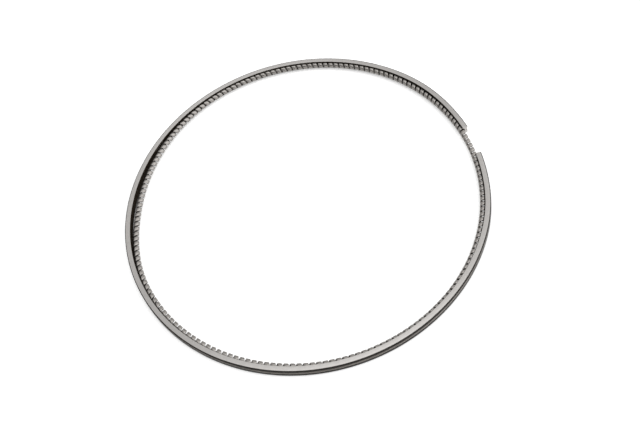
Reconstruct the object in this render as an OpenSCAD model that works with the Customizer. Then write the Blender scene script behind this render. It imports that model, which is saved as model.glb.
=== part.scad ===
// Oil control piston ring with a coil spring expander, in its free state off the piston.
// Millimetres. +Z is the ring axis, the lower side face lies at Z = 0 and the ring gap points to +X.

/* [Engine] */
// Diameter of the cylinder bore that the ring is made for
bore_d = 120; // [100:1:140]
// Gap between the ring ends when the ring is closed in the bore
closed_gap = 0.4; // [0.2:0.05:1]
// Gap between the ring ends when the ring is free
free_gap = 11.9; // [6:0.1:20]

/* [Ring section] */
// Height between the two side faces
ring_h = 3; // [2.6:0.1:5]
// Radial wall, from the running face to the inner face
ring_wall = 1.88; // [1.7:0.02:3.5]
// Radial width of the bevel beside each running land
bevel_w = 0.28; // [0.1:0.02:0.5]
// Height of the bevel beside each running land
bevel_h = 0.14; // [0.1:0.02:0.6]
// Height of the oil groove at its mouth, between the lands
groove_h = 1; // [0.8:0.02:1.4]
// Depth of the oil groove
groove_depth = 0.55; // [0.3:0.05:0.7]
// Edge break on the inner corners
edge_break = 0.1; // [0.05:0.05:0.25]

/* [Oil slots] */
// Number of oil slots through the web
slot_count = 12; // [6:1:14]
// Height of an oil slot
slot_h = 0.56; // [0.4:0.02:0.8]
// Ledge left on the groove floor above and below a slot
slot_ledge = 0.05; // [0.03:0.01:0.1]
// Diameter of the disc cutter that mills the slots
cutter_d = 30; // [16:1:40]
// How far the cutter breaks into the spring seat
slot_break = 0.25; // [0.2:0.05:0.5]

/* [Coil spring] */
// Outer diameter of the coil spring
spring_d = 2; // [1.7:0.05:2.3]
// Pitch of the coils along the seat
coil_pitch = 2.01; // [1.9:0.01:3]
// Width of the flat spring wire
wire_w = 1.4; // [0.8:0.02:1.5]
// Thickness of the flat spring wire
wire_t = 0.42; // [0.3:0.02:0.5]
// Depth of the spring seat below the inner face
seat_depth = 0.9; // [0.7:0.02:1.04]
// Radial clearance between the spring and its seat
seat_clearance = 0.05; // [0.03:0.01:0.1]
// Gap where the two ends of the spring wire butt
butt_gap = 0.2; // [0.1:0.05:0.5]

/* [Lie of the free spring] */
// How far the spring stands off its seat where it crosses the ring gap
gap_lift = 0.9; // [0.1:0.05:1.2]
// Angle from the middle of the gap over which that lift fades out
gap_lift_run = 65; // [20:1:70]
// How far the spring bows out of its seat on one side of the ring
bow_lift = 1.3; // [0.2:0.1:1.6]
// Angle from the ring gap to the top of the bow
bow_angle = 160; // [120:1:180]
// Angle over which the bow falls off away from the gap
bow_steep_run = 32; // [15:1:45]
// Angle over which the bow falls off towards the gap
bow_slow_run = 58; // [40:1:75]
// How far the slack of the free spring lifts it off its seat opposite the gap
slack_lift = 0.5; // [0.1:0.02:0.8]
// Angle from there over which the slack fades out
slack_run = 110; // [60:1:140]

/* [Latch wire] */
// Length of the latch wire inside the joint of the spring
latch_len = 40; // [20:1:60]
// Radial clearance between the latch wire and the coils
latch_clearance = 0.12; // [0.05:0.01:0.2]

/* [Hidden] */

ring_facets = 360;
small_facets = 48;
degrees_per_radian = 180 / PI;
mid_h = ring_h / 2;

// Free ring: the opening of the gap adds to the closed circumference
free_r = bore_d / 2 + (free_gap - closed_gap) / (2 * PI);
tip_angle = asin(free_gap / 2 / free_r);

groove_floor_h = slot_h + 2 * slot_ledge;
slot_depth = ring_wall - seat_depth + slot_break;

// Spring, seated concentric with its groove
seat_groove_r = spring_d / 2 + seat_clearance;
seat_inset = ring_wall - seat_depth + seat_groove_r;
seat_r = free_r - seat_inset;
coil_out_r = spring_d / 2;
coil_in_r = coil_out_r - wire_t;
coil_mean_r = coil_out_r - wire_t / 2;
turns = round(2 * PI * seat_r / coil_pitch);
steps_per_turn = 7;
helix_angle = atan(coil_pitch / (2 * PI * coil_mean_r));
wire_half_angle = wire_w / cos(helix_angle) / 2 / seat_r * degrees_per_radian;
wire_turn = 360 * turns - butt_gap / coil_mean_r * degrees_per_radian;
joint_angle = 180;

// The latch wire clears the flats of the faceted coil
latch_r = coil_in_r * cos(180 / steps_per_turn) - latch_clearance;
latch_half_angle = latch_len / 2 / seat_r * degrees_per_radian;
latch_sides = 12;
latch_steps = 24;

// The same angle between -180 and 180 degrees
function signed_angle(a) = a - 360 * floor((a + 180) / 360);

// A smooth hump, 1 at t = 0 and 0 from t = 1 on
function hump(t) = abs(t) >= 1 ? 0 : (1 + cos(180 * t)) / 2;

// How far the spring lies inside its seated circle
function spring_lift(a) =
    let (from_bow = signed_angle(a - bow_angle))
    let (bow_run = from_bow > 0 ? bow_steep_run : bow_slow_run)
    gap_lift * hump(signed_angle(a) / gap_lift_run)
    + bow_lift * hump(from_bow / bow_run)
    + slack_lift * hump(signed_angle(a - 180) / slack_run);

// A point at ring angle a, turned by phase around the spring's own centre line at radius r
function coil_point(a, phase, r) =
    let (d = seat_r - spring_lift(a) + r * cos(phase))
    [d * cos(a), d * sin(a), mid_h - r * sin(phase)];

// The four corners of the flat wire at one phase of the coil
function wire_section(phase) =
    let (a = joint_angle + phase / turns)
    [
        coil_point(a - wire_half_angle, phase, coil_out_r),
        coil_point(a + wire_half_angle, phase, coil_out_r),
        coil_point(a + wire_half_angle, phase, coil_in_r),
        coil_point(a - wire_half_angle, phase, coil_in_r)
    ];

// One round section of the latch wire
function latch_section(a) =
    [for (i = [0 : latch_sides - 1]) coil_point(a, 360 * i / latch_sides, latch_r)];

// A closed skin over a row of sections that all have the same number of points
module sweep(sections) {
    sides = len(sections[0]);
    last = len(sections) - 1;
    skin = [
        for (k = [0 : last - 1], i = [0 : sides - 1])
            let (j = (i + 1) % sides, p = k * sides, q = p + sides)
            each [[p + i, p + j, q + j], [p + i, q + j, q + i]]
    ];
    first_cap = [for (i = [sides - 1 : -1 : 0]) i];
    last_cap = [for (i = [0 : sides - 1]) last * sides + i];
    polyhedron(points = [for (s = sections) each s], faces = concat(skin, [first_cap, last_cap]));
}

// Section of the ring through one side of its wall
module ring_section() {
    inner_r = free_r - ring_wall;
    difference() {
        polygon([
            [inner_r + edge_break, 0],
            [free_r - bevel_w, 0],
            [free_r, bevel_h],
            [free_r, mid_h - groove_h / 2],
            [free_r - groove_depth, mid_h - groove_floor_h / 2],
            [free_r - groove_depth, mid_h + groove_floor_h / 2],
            [free_r, mid_h + groove_h / 2],
            [free_r, ring_h - bevel_h],
            [free_r - bevel_w, ring_h],
            [inner_r + edge_break, ring_h],
            [inner_r, ring_h - edge_break],
            [inner_r, edge_break]
        ]);
        translate([seat_r, mid_h])
            circle(r = seat_groove_r, $fn = small_facets);
    }
}

// Cuts of the disc cutter, fed in from the running face
module oil_slots() {
    for (i = [0 : slot_count - 1]) {
        a = 360 * (i + 0.5) / slot_count;
        rotate([0, 0, a])
            translate([free_r + cutter_d / 2 - slot_depth, 0, mid_h - slot_h / 2])
                cylinder(d = cutter_d, h = slot_h, $fn = ring_facets);
    }
}

module ring_body() {
    color([0.73, 0.73, 0.73])
        difference() {
            rotate_extrude(start = tip_angle, angle = 360 - 2 * tip_angle, $fn = ring_facets)
                ring_section();
            oil_slots();
        }
}

module coil_spring() {
    stations = turns * steps_per_turn;
    color([0.55, 0.55, 0.54])
        sweep([for (k = [0 : stations]) wire_section(wire_turn * k / stations)]);
}

module latch_wire() {
    color([0.4, 0.4, 0.4])
        sweep([
            for (k = [0 : latch_steps])
                latch_section(joint_angle + latch_half_angle * (2 * k / latch_steps - 1))
        ]);
}

ring_body();
coil_spring();
latch_wire();
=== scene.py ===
import math

import bpy
import numpy as np
from mathutils import Matrix, Vector


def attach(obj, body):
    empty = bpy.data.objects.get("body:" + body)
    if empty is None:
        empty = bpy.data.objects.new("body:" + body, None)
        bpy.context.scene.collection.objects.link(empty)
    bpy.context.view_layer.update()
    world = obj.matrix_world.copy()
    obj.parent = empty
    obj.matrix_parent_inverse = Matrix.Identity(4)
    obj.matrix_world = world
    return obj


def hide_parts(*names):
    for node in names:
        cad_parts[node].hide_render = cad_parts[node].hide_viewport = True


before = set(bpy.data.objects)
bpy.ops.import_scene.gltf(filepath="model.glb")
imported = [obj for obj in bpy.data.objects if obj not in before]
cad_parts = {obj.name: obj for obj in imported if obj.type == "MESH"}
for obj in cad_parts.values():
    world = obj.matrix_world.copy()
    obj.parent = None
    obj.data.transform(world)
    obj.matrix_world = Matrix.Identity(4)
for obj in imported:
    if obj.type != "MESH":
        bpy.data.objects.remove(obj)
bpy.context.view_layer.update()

MM = 0.001

# Ring, as in the part's source, in millimetres and degrees
BORE_D = 120.0
CLOSED_GAP = 0.4
FREE_GAP = 11.9
FREE_R = BORE_D / 2 + (FREE_GAP - CLOSED_GAP) / (2 * math.pi)
TIP_ANGLE = math.degrees(math.asin(FREE_GAP / 2 / FREE_R))
RING_H = 3.0
MID_H = RING_H / 2
RING_WALL = 1.88
BEVEL_W = 0.28
BEVEL_H = 0.14
GROOVE_H = 1.0
GROOVE_DEPTH = 0.55
EDGE_BREAK = 0.1

# Coil spring and its seat
COIL_OUT_R = 1.0
COIL_PITCH = 2.01
WIRE_W = 1.4
WIRE_T = 0.42
BUTT_GAP = 0.2
JOINT_ANGLE = 180.0
SEAT_DEPTH = 0.9
SEAT_CLEARANCE = 0.05
SEAT_GROOVE_R = COIL_OUT_R + SEAT_CLEARANCE
SEAT_R = FREE_R - (RING_WALL - SEAT_DEPTH + SEAT_GROOVE_R)
TURNS = round(2 * math.pi * SEAT_R / COIL_PITCH)

# Oil slots
SLOT_COUNT = 12
SLOT_H = 0.56
SLOT_LEDGE = 0.05
SLOT_BREAK = 0.25
SLOT_DEPTH = RING_WALL - SEAT_DEPTH + SLOT_BREAK
CUTTER_D = 30.0
GROOVE_FLOOR_H = SLOT_H + 2 * SLOT_LEDGE

# Lie of the free spring: how far it stands off its seat, and over what angle
GAP_LIFT = 0.9
GAP_LIFT_RUN = 65.0
BOW_LIFT = 1.3
BOW_ANGLE = 160.0
BOW_STEEP_RUN = 32.0
BOW_SLOW_RUN = 58.0
SLACK_LIFT = 0.5
SLACK_RUN = 110.0

# The ends of the free ring curl in a little
TIP_CURL = 0.6
TIP_CURL_RUN = 28.0

# Rounding of the edges
RUNNING_EDGE_R = 0.04
INNER_EDGE_R = 0.03
GROOVE_FILLET_R = 0.08
WIRE_EDGE_R = 0.17

# Fineness of the meshes
RING_STATIONS = 420
SEAT_STEPS = 24
CORNER_STEPS = 3
CUTTER_SIDES = 96
COIL_STATIONS_PER_TURN = 32

# Edges that turn by more than this aren't shaded smooth
SHARP_ANGLE = 40.0


def signed_angle(angle):
    """The same angle between -180 and 180 degrees."""
    return angle - 360 * np.floor((angle + 180) / 360)


def hump(t):
    """A smooth hump, 1 at t = 0 and 0 from t = 1 on."""
    return np.where(np.abs(t) >= 1, 0.0, (1 + np.cos(math.pi * t)) / 2)


def spring_lift(angle):
    """How far the spring lies inside its seated circle."""
    from_bow = signed_angle(angle - BOW_ANGLE)
    bow_run = np.where(from_bow > 0, BOW_STEEP_RUN, BOW_SLOW_RUN)
    at_gap = GAP_LIFT * hump(signed_angle(angle) / GAP_LIFT_RUN)
    slack = SLACK_LIFT * hump(signed_angle(angle - 180) / SLACK_RUN)
    return at_gap + BOW_LIFT * hump(from_bow / bow_run) + slack


def tip_shift(angle):
    """How far the ring's wall lies inside its true circle."""
    from_tip = np.abs(signed_angle(angle)) - TIP_ANGLE
    return TIP_CURL * hump(np.clip(from_tip, 0, None) / TIP_CURL_RUN)


# Mesh helpers


def tube_faces(rows, sides, base=0):
    """The faces over rows of points that follow each other, with a cap on each end, last."""
    faces = []
    for row in range(rows - 1):
        this = base + row * sides
        following = this + sides
        for i in range(sides):
            j = (i + 1) % sides
            faces.append((this + i, this + j, following + j, following + i))
    last = base + (rows - 1) * sides
    faces.append(tuple(base + i for i in range(sides - 1, -1, -1)))
    faces.append(tuple(last + i for i in range(sides)))
    return faces


def mesh_object(name, points, faces, materials, zones=None, flat_faces=0):
    """A mesh of points in millimetres, shaded smooth but for its last flat_faces."""
    mesh = bpy.data.meshes.new(name)
    mesh.from_pydata([tuple(p) for p in np.array(points) * MM], [], faces)
    for material in materials:
        mesh.materials.append(material)
    if zones is not None:
        mesh.polygons.foreach_set("material_index", zones)
    smooth = [True] * (len(faces) - flat_faces) + [False] * flat_faces
    mesh.polygons.foreach_set("use_smooth", smooth)
    mesh.update()
    obj = bpy.data.objects.new(name, mesh)
    bpy.context.scene.collection.objects.link(obj)
    return obj


# Material helpers

# The part of a noise's range that a ramp spreads out
NOISE_LOW = 0.3
NOISE_HIGH = 0.7


def new_material(name):
    """A new material, its node tree and its shader."""
    material = bpy.data.materials.new(name)
    material.use_nodes = True
    tree = material.node_tree
    return material, tree, tree.nodes["Principled BSDF"]


def node(tree, kind, **values):
    """A new node, with values for its inputs or its own settings."""
    made = tree.nodes.new(kind)
    for key, value in values.items():
        if key in made.inputs:
            made.inputs[key].default_value = value
        else:
            setattr(made, key, value)
    return made


def ramp(tree, source, stops):
    """A colour ramp on a source, with stops of place and colour."""
    made = tree.nodes.new("ShaderNodeValToRGB")
    elements = made.color_ramp.elements
    while len(elements) < len(stops):
        elements.new(0.5)
    for element, (place, colour) in zip(elements, stops):
        element.position = place
        element.color = (*colour, 1)
    tree.links.new(source, made.inputs["Fac"])
    return made.outputs["Color"]


def grey(level, warm=0.0):
    """A grey, with a share more red and as much less blue."""
    return (level * (1 + warm), level, level * (1 - warm))


def noise_ramp(tree, source, low, high):
    """A colour ramp over the middle of a noise's range."""
    return ramp(tree, source, [(NOISE_LOW, low), (NOISE_HIGH, high)])


def polar_coordinates(tree, round_scale, radial_scale, height_scale):
    """Texture coordinates that change slowly round the ring axis, and fast with radius and height."""
    place = node(tree, "ShaderNodeTexCoord")
    split = node(tree, "ShaderNodeSeparateXYZ")
    tree.links.new(place.outputs["Object"], split.inputs[0])
    flat = node(tree, "ShaderNodeCombineXYZ")
    tree.links.new(split.outputs["X"], flat.inputs["X"])
    tree.links.new(split.outputs["Y"], flat.inputs["Y"])
    radius = node(tree, "ShaderNodeVectorMath", operation="LENGTH")
    tree.links.new(flat.outputs[0], radius.inputs[0])
    direction = node(tree, "ShaderNodeVectorMath", operation="NORMALIZE")
    tree.links.new(flat.outputs[0], direction.inputs[0])
    arc = node(tree, "ShaderNodeVectorMath", operation="SCALE", Scale=round_scale)
    tree.links.new(direction.outputs[0], arc.inputs[0])
    across = node(tree, "ShaderNodeMath", operation="MULTIPLY")
    tree.links.new(radius.outputs["Value"], across.inputs[0])
    across.inputs[1].default_value = radial_scale
    up = node(tree, "ShaderNodeMath", operation="MULTIPLY_ADD")
    tree.links.new(split.outputs["Z"], up.inputs[0])
    up.inputs[1].default_value = height_scale
    tree.links.new(across.outputs[0], up.inputs[2])
    lift = node(tree, "ShaderNodeCombineXYZ")
    tree.links.new(up.outputs[0], lift.inputs["Z"])
    total = node(tree, "ShaderNodeVectorMath", operation="ADD")
    tree.links.new(arc.outputs[0], total.inputs[0])
    tree.links.new(lift.outputs[0], total.inputs[1])
    return total.outputs[0]


def worked_surface(name, tone, warm, rough, metallic, lay, mottle, bump, specular=0.5):
    """A worked surface with a fine lay round the ring axis and a soft mottle.

    Together they take the tone and the roughness from their first value to their second.
    The lay holds the three scales of polar_coordinates.
    """
    material, tree, shader = new_material(name)
    lay_noise = node(tree, "ShaderNodeTexNoise", Scale=1.0, Detail=4.0, Roughness=0.6)
    tree.links.new(polar_coordinates(tree, *lay), lay_noise.inputs["Vector"])
    place = node(tree, "ShaderNodeTexCoord")
    mottle_noise = node(tree, "ShaderNodeTexNoise", Scale=mottle, Detail=5.0, Roughness=0.65)
    tree.links.new(place.outputs["Object"], mottle_noise.inputs["Vector"])
    total = node(tree, "ShaderNodeMath", operation="ADD")
    tree.links.new(lay_noise.outputs["Fac"], total.inputs[0])
    tree.links.new(mottle_noise.outputs["Fac"], total.inputs[1])
    mean = node(tree, "ShaderNodeMath", operation="MULTIPLY")
    tree.links.new(total.outputs[0], mean.inputs[0])
    mean.inputs[1].default_value = 1 / 2
    colour = noise_ramp(tree, mean.outputs[0], grey(tone[0], warm), grey(tone[1], warm))
    tree.links.new(colour, shader.inputs["Base Color"])
    roughness = noise_ramp(tree, mean.outputs[0], grey(rough[0]), grey(rough[1]))
    tree.links.new(roughness, shader.inputs["Roughness"])
    shader.inputs["Metallic"].default_value = metallic
    shader.inputs["Specular IOR Level"].default_value = specular
    relief = node(tree, "ShaderNodeBump", Strength=bump, Distance=0.02 * MM)
    tree.links.new(lay_noise.outputs["Fac"], relief.inputs["Height"])
    tree.links.new(relief.outputs[0], shader.inputs["Normal"])
    return material


def stretch_gloss(material, amount):
    """Stretch the gloss across a lay that runs round the ring axis."""
    tree = material.node_tree
    shader = tree.nodes["Principled BSDF"]
    tangent = node(tree, "ShaderNodeTangent", direction_type="RADIAL", axis="Z")
    tree.links.new(tangent.outputs[0], shader.inputs["Tangent"])
    shader.inputs["Anisotropic"].default_value = amount
    shader.inputs["Anisotropic Rotation"].default_value = 1 / 4


# Materials

IRON_WARM = 0.035
GROUND_LAY = (40, 9000, 9000)
WIRE_LAY = (300, 3000, 3000)

# Ground side faces
ground = worked_surface(
    "ring_ground", tone=(0.515, 0.612), warm=IRON_WARM, rough=(0.38, 0.31), metallic=1.0,
    lay=GROUND_LAY, mottle=900, bump=0.25,
)
stretch_gloss(ground, amount=0.8)

# Cut ends at the gap, a paler copy of the ground metal: painted highlight
ends = worked_surface(
    "ring_ends_painted_highlight", tone=(0.62, 0.74), warm=IRON_WARM, rough=(0.5, 0.42), metallic=1.0,
    lay=GROUND_LAY, mottle=900, bump=0.25,
)

# Dark satin running lands
lands = worked_surface(
    "ring_lands", tone=(0.021, 0.034), warm=0.14, rough=(0.5, 0.4), metallic=0.0,
    lay=(30, 6000, 9000), mottle=1500, bump=0.2, specular=0.06,
)

# Oil groove, paler than the lands: painted light for its upward-facing flank
groove = worked_surface(
    "ring_groove_painted_light", tone=(0.27, 0.375), warm=0.07, rough=(0.7, 0.6), metallic=0.0,
    lay=(30, 5000, 5000), mottle=1500, bump=0.4,
)

# Inner face, spring seat and inner edge breaks, near black: painted shade for the recess behind the
# spring
inner = worked_surface(
    "ring_inner_painted_shade", tone=(0.012, 0.022), warm=0.4, rough=(0.6, 0.5), metallic=0.0,
    lay=(30, 5000, 7000), mottle=1200, bump=0.3, specular=0.12,
)

# Drawn flat wire of the spring
spring = worked_surface(
    "spring_wire", tone=(0.305, 0.445), warm=0.055, rough=(0.42, 0.34), metallic=1.0,
    lay=WIRE_LAY, mottle=2200, bump=0.2,
)

# Latch wire inside the spring
latch = worked_surface(
    "latch_wire_steel", tone=(0.2, 0.28), warm=IRON_WARM, rough=(0.45, 0.38), metallic=1.0,
    lay=WIRE_LAY, mottle=2000, bump=0.2,
)


# Ring body

RING_ZONES = {"ground": ground, "lands": lands, "groove": groove, "inner": inner, "ends": ends}
ZONE_NAMES = list(RING_ZONES)


def rounded_corner(outline, k, radius):
    """Points of the corner k of a closed outline, rounded by a radius."""
    point = np.array(outline[k], float)
    before = np.array(outline[k - 1], float) - point
    after = np.array(outline[(k + 1) % len(outline)], float) - point
    before = before / np.linalg.norm(before)
    after = after / np.linalg.norm(after)
    half_angle = math.acos(max(-1, min(1, float(before @ after)))) / 2
    reach = radius / math.tan(half_angle)
    middle = (before + after) / np.linalg.norm(before + after)
    centre = point + middle * radius / math.sin(half_angle)
    start = point + before * reach - centre
    end = point + after * reach - centre
    points = []
    for i in range(CORNER_STEPS + 1):
        t = i / CORNER_STEPS
        spoke = start * (1 - t) + end * t
        points.append(centre + spoke / np.linalg.norm(spoke) * radius)
    return points


def ring_outline():
    """The closed section of radius and height, with the zone of the edge after each point."""
    inner_r = FREE_R - RING_WALL
    groove_r = FREE_R - GROOVE_DEPTH
    corners = [
        ((inner_r + EDGE_BREAK, 0), "ground", INNER_EDGE_R),
        ((FREE_R - BEVEL_W, 0), "lands", RUNNING_EDGE_R),
        ((FREE_R, BEVEL_H), "lands", RUNNING_EDGE_R),
        ((FREE_R, MID_H - GROOVE_H / 2), "groove", RUNNING_EDGE_R),
        ((groove_r, MID_H - GROOVE_FLOOR_H / 2), "groove", GROOVE_FILLET_R),
        ((groove_r, MID_H + GROOVE_FLOOR_H / 2), "groove", GROOVE_FILLET_R),
        ((FREE_R, MID_H + GROOVE_H / 2), "lands", RUNNING_EDGE_R),
        ((FREE_R, RING_H - BEVEL_H), "lands", RUNNING_EDGE_R),
        ((FREE_R - BEVEL_W, RING_H), "ground", RUNNING_EDGE_R),
        # The inner edge breaks and the seat take the near-black inner material, which is painted shade
        ((inner_r + EDGE_BREAK, RING_H), "inner", INNER_EDGE_R),
        ((inner_r, RING_H - EDGE_BREAK), "inner", INNER_EDGE_R),
    ]
    seat_half_angle = math.acos((inner_r - SEAT_R) / SEAT_GROOVE_R)
    for i in range(SEAT_STEPS + 1):
        t = seat_half_angle * (1 - 2 * i / SEAT_STEPS)
        place = (SEAT_R + SEAT_GROOVE_R * math.cos(t), MID_H + SEAT_GROOVE_R * math.sin(t))
        corners.append((place, "inner", None))
    corners.append(((inner_r, EDGE_BREAK), "inner", INNER_EDGE_R))
    outline = [place for place, _, _ in corners]
    points = []
    zones = []
    for k, (place, zone, radius) in enumerate(corners):
        made = rounded_corner(outline, k, radius) if radius else [np.array(place, float)]
        points += made
        zones += [zone] * len(made)
    return np.array(points), zones


def build_ring():
    """The section carried round from one end of the ring to the other."""
    outline, edge_zones = ring_outline()
    points = []
    for angle in np.linspace(360 - TIP_ANGLE, TIP_ANGLE, RING_STATIONS + 1):
        t = math.radians(angle)
        r = outline[:, 0] - tip_shift(angle)
        points.append(np.c_[r * math.cos(t), r * math.sin(t), outline[:, 1]])
    faces = tube_faces(RING_STATIONS + 1, len(outline))
    zones = [ZONE_NAMES.index(zone) for zone in edge_zones] * RING_STATIONS
    # The two end caps take the paler ends material, a painted highlight
    zones += [ZONE_NAMES.index("ends")] * 2
    materials = RING_ZONES.values()
    return mesh_object("ring_body_fine", np.concatenate(points), faces, materials, zones, flat_faces=2)


def build_cutters():
    """The slots that a disc cutter mills through the web, as one mesh."""
    cutter_r = CUTTER_D / 2
    cutter_away = FREE_R + cutter_r - SLOT_DEPTH
    points = []
    faces = []
    for k in range(SLOT_COUNT):
        angle = 2 * math.pi * (k + 0.5) / SLOT_COUNT
        faces += tube_faces(2, CUTTER_SIDES, base=len(points))
        for z in (MID_H - SLOT_H / 2, MID_H + SLOT_H / 2):
            for i in range(CUTTER_SIDES):
                t = angle + 2 * math.pi * i / CUTTER_SIDES
                x = cutter_away * math.cos(angle) + cutter_r * math.cos(t)
                y = cutter_away * math.sin(angle) + cutter_r * math.sin(t)
                points.append((x, y, z))
    return mesh_object("slot_cutters", points, faces, [groove])


def cut_away(obj, cutters):
    """Take the cutters out of an object, and delete them."""
    cut = obj.modifiers.new("slots", "BOOLEAN")
    cut.operation = "DIFFERENCE"
    cut.solver = "EXACT"
    cut.object = cutters
    cut.material_mode = "TRANSFER"
    evaluated = obj.evaluated_get(bpy.context.evaluated_depsgraph_get())
    mesh = bpy.data.meshes.new_from_object(evaluated)
    obj.modifiers.clear()
    obj.data = mesh
    bpy.data.objects.remove(cutters)


ring = build_ring()
cut_away(ring, build_cutters())
ring.data.set_sharp_from_angle(angle=math.radians(SHARP_ANGLE))
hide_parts("ring_body")
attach(ring, "root")


# Coil spring

COIL_MEAN_R = COIL_OUT_R - WIRE_T / 2


def wire_outline():
    """Section of the flat wire: along the spring and outwards from the middle of the wire."""
    helix_angle = math.atan(COIL_PITCH / (2 * math.pi * COIL_MEAN_R))
    along = WIRE_W / math.cos(helix_angle) / 2 - WIRE_EDGE_R
    outwards = WIRE_T / 2 - WIRE_EDGE_R
    points = []
    for quarter, (side, face) in enumerate(((1, 1), (-1, 1), (-1, -1), (1, -1))):
        for half_step in range(3):
            t = math.radians(90 * quarter + 45 * half_step)
            x = side * along + WIRE_EDGE_R * math.cos(t)
            y = face * outwards + WIRE_EDGE_R * math.sin(t)
            points.append((x, y))
    return points


def build_coil():
    """The flat wire wound turn by turn along the lie of the spring."""
    outline = wire_outline()
    steps = TURNS * COIL_STATIONS_PER_TURN
    phase = np.linspace(0, 2 * math.pi * TURNS - BUTT_GAP / COIL_MEAN_R, steps + 1)
    points = np.zeros((steps + 1, len(outline), 3))
    for i, (along, outwards) in enumerate(outline):
        angle = JOINT_ANGLE + np.degrees(phase) / TURNS + math.degrees(along / SEAT_R)
        r = COIL_MEAN_R + outwards
        away = SEAT_R - spring_lift(angle) + r * np.cos(phase)
        points[:, i, 0] = away * np.cos(np.radians(angle))
        points[:, i, 1] = away * np.sin(np.radians(angle))
        points[:, i, 2] = MID_H - r * np.sin(phase)
    faces = tube_faces(steps + 1, len(outline))
    return mesh_object("coil_spring_fine", points.reshape(-1, 3), faces, [spring])


coil = build_coil()
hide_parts("coil_spring")
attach(coil, "root")


# Latch wire, which keeps its solid

latch_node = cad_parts["latch_wire"]
latch_node.data.materials.clear()
latch_node.data.materials.append(latch)


# Floor

# Half the floor's side, in metres
FLOOR_HALF = 25.0
# The mottle of the paper, which throws light on the ring
PAPER_SCALE = 60.0
PAPER_DARK = 0.78
PAPER_LIGHT = 0.82
# How bright the floor shows in the metal, and how much the camera's view of it is lifted to white
MIRRORED_LEVEL = 1.05
WHITE_LIFT = 0.42
# The painted contact shadow: its reach in millimetres, and the openness at which it is black and at which
# it ends
CONTACT_REACH = 0.45
CONTACT_BLACK = 0.4
CONTACT_END = 0.88


def floor_material():
    """Pale paper that is white to the camera and in the metal, with a tight painted contact shadow."""
    material, tree, shader = new_material("floor_paper")
    place = node(tree, "ShaderNodeTexCoord")
    paper_noise = node(tree, "ShaderNodeTexNoise", Scale=PAPER_SCALE, Detail=3.0)
    tree.links.new(place.outputs["Object"], paper_noise.inputs["Vector"])
    paper = noise_ramp(tree, paper_noise.outputs["Fac"], grey(PAPER_DARK), grey(PAPER_LIGHT))
    path = node(tree, "ShaderNodeLightPath")
    mirrored = node(tree, "ShaderNodeMath", operation="MAXIMUM")
    tree.links.new(path.outputs["Is Glossy Ray"], mirrored.inputs[0])
    tree.links.new(path.outputs["Is Transmission Ray"], mirrored.inputs[1])
    other_rays = node(tree, "ShaderNodeMix", data_type="RGBA")
    tree.links.new(mirrored.outputs[0], other_rays.inputs["Factor"])
    tree.links.new(paper, other_rays.inputs["A"])
    other_rays.inputs["B"].default_value = (*grey(MIRRORED_LEVEL), 1)
    # The floor's openness paints a contact shadow into both its colour and its glow
    openness = node(tree, "ShaderNodeAmbientOcclusion", samples=16, Distance=CONTACT_REACH * MM)
    painted_contact_shadow = ramp(tree, openness.outputs["AO"], [(CONTACT_BLACK, grey(0.0)), (CONTACT_END, grey(1.0))])
    colour = node(tree, "ShaderNodeMix", data_type="RGBA")
    tree.links.new(path.outputs["Is Camera Ray"], colour.inputs["Factor"])
    tree.links.new(other_rays.outputs["Result"], colour.inputs["A"])
    tree.links.new(painted_contact_shadow, colour.inputs["B"])
    diffuse = node(tree, "ShaderNodeBsdfDiffuse")
    tree.links.new(colour.outputs["Result"], diffuse.inputs["Color"])
    lift = node(tree, "ShaderNodeMath", operation="MULTIPLY")
    tree.links.new(path.outputs["Is Camera Ray"], lift.inputs[0])
    lift.inputs[1].default_value = WHITE_LIFT
    glow = node(tree, "ShaderNodeEmission")
    tree.links.new(painted_contact_shadow, glow.inputs["Color"])
    tree.links.new(lift.outputs[0], glow.inputs["Strength"])
    both = node(tree, "ShaderNodeAddShader")
    tree.links.new(diffuse.outputs[0], both.inputs[0])
    tree.links.new(glow.outputs[0], both.inputs[1])
    tree.links.new(both.outputs[0], tree.nodes["Material Output"].inputs["Surface"])
    tree.nodes.remove(shader)
    return material


def build_floor():
    """A wide flat sheet that the ring lies on."""
    corners = [(x * FLOOR_HALF, y * FLOOR_HALF, 0) for x, y in ((-1, -1), (1, -1), (1, 1), (-1, 1))]
    mesh = bpy.data.meshes.new("floor")
    mesh.from_pydata(corners, [], [(0, 1, 2, 3)])
    mesh.materials.append(floor_material())
    obj = bpy.data.objects.new("floor", mesh)
    bpy.context.scene.collection.objects.link(obj)


build_floor()


# Light: a dome in three parts, each a direction and its levels by the cosine of the angle from it

ABOVE = (-0.047, -0.088, 0.995)
ABOVE_LEVELS = [(0.0, 0.25), (0.45, 0.45), (0.62, 0.95), (0.84, 0.52), (1.0, 2.7)]
BEHIND_CAMERA = (-0.298, -0.815, 0.497)
BEHIND_CAMERA_LEVELS = [(0.3, 1.0), (0.8, 0.35)]
BESIDE = (0.905, -0.302, 0.302)
BESIDE_LEVELS = [(0.35, 0.0), (0.9, 1.0)]


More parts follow.
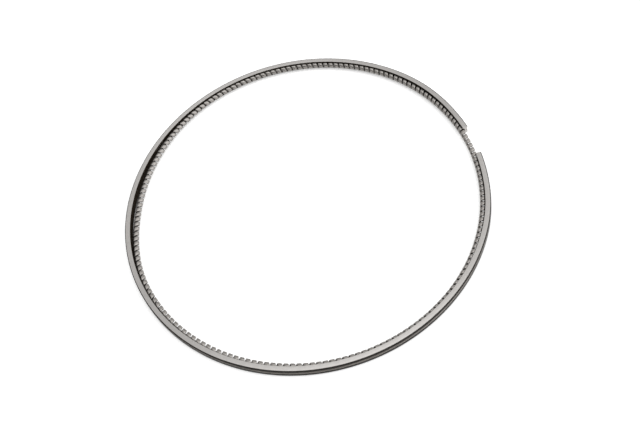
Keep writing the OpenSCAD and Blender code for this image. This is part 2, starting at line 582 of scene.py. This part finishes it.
def build_world():
    """The dome is bright overhead, dimmed behind the camera, and gets a side light from the right."""
    world = bpy.data.worlds.new("studio")
    bpy.context.scene.world = world
    world.use_nodes = True
    tree = world.node_tree
    place = node(tree, "ShaderNodeTexCoord")

    def levels_along(direction, levels):
        cosine = node(tree, "ShaderNodeVectorMath", operation="DOT_PRODUCT")
        tree.links.new(place.outputs["Generated"], cosine.inputs[0])
        cosine.inputs[1].default_value = direction
        return ramp(tree, cosine.outputs["Value"], [(at, grey(level)) for at, level in levels])

    above = levels_along(ABOVE, ABOVE_LEVELS)
    behind = levels_along(BEHIND_CAMERA, BEHIND_CAMERA_LEVELS)
    beside = levels_along(BESIDE, BESIDE_LEVELS)
    total = node(tree, "ShaderNodeVectorMath", operation="MULTIPLY_ADD")
    for source, target in zip((above, behind, beside), total.inputs):
        tree.links.new(source, target)
    background = tree.nodes["Background"]
    tree.links.new(total.outputs[0], background.inputs["Color"])
    background.inputs["Strength"].default_value = 1.0


build_world()


# Camera, where the photograph was taken from: free ring radii, degrees and pixels

CAM_DISTANCE = 4.5
CAM_ELEVATION = 55.35
CAM_AZIMUTH = -2.05
CAM_ROLL = 17.14
CAM_FOCAL = 826.35
CAM_CENTRE = (303.98, 199.17)
IMAGE_W = 640
IMAGE_H = 427
SENSOR_W = 36.0
# How near and how far the camera sees, in metres
CLIP_NEAR = 0.01
CLIP_FAR = 60.0


def build_camera():
    """The camera looks at the ring from one side, rolled, with the ring's middle at CAM_CENTRE."""
    elevation = math.radians(CAM_ELEVATION)
    roll = math.radians(CAM_ROLL)
    back = np.array([0, -math.cos(elevation), math.sin(elevation)])
    right = np.array([1.0, 0, 0])
    to_camera = np.stack([right, np.cross(back, right), back])
    c, s = math.cos(roll), math.sin(roll)
    to_camera = np.array([[c, -s, 0], [s, c, 0], [0, 0, 1]]) @ to_camera
    aim_right = (CAM_CENTRE[0] - IMAGE_W / 2) / CAM_FOCAL
    aim_down = (CAM_CENTRE[1] - IMAGE_H / 2) / CAM_FOCAL
    turn = Vector((0, 0, -1)).rotation_difference(Vector((aim_right, -aim_down, -1))).to_matrix()
    to_camera = np.array(turn) @ to_camera
    data = bpy.data.cameras.new("camera")
    data.sensor_fit = "HORIZONTAL"
    data.sensor_width = SENSOR_W
    data.lens = CAM_FOCAL / IMAGE_W * SENSOR_W
    data.clip_start = CLIP_NEAR
    data.clip_end = CLIP_FAR
    obj = bpy.data.objects.new("camera", data)
    bpy.context.scene.collection.objects.link(obj)
    spin = Matrix.Rotation(math.radians(CAM_AZIMUTH), 4, "Z")
    stand = Vector((0, 0, MID_H * MM)) + spin @ Vector(back * CAM_DISTANCE * FREE_R * MM)
    obj.matrix_world = Matrix.Translation(stand) @ spin @ Matrix(to_camera.T.tolist()).to_4x4()
    bpy.context.scene.camera = obj


build_camera()

bpy.context.scene.view_settings.view_transform = "Standard"
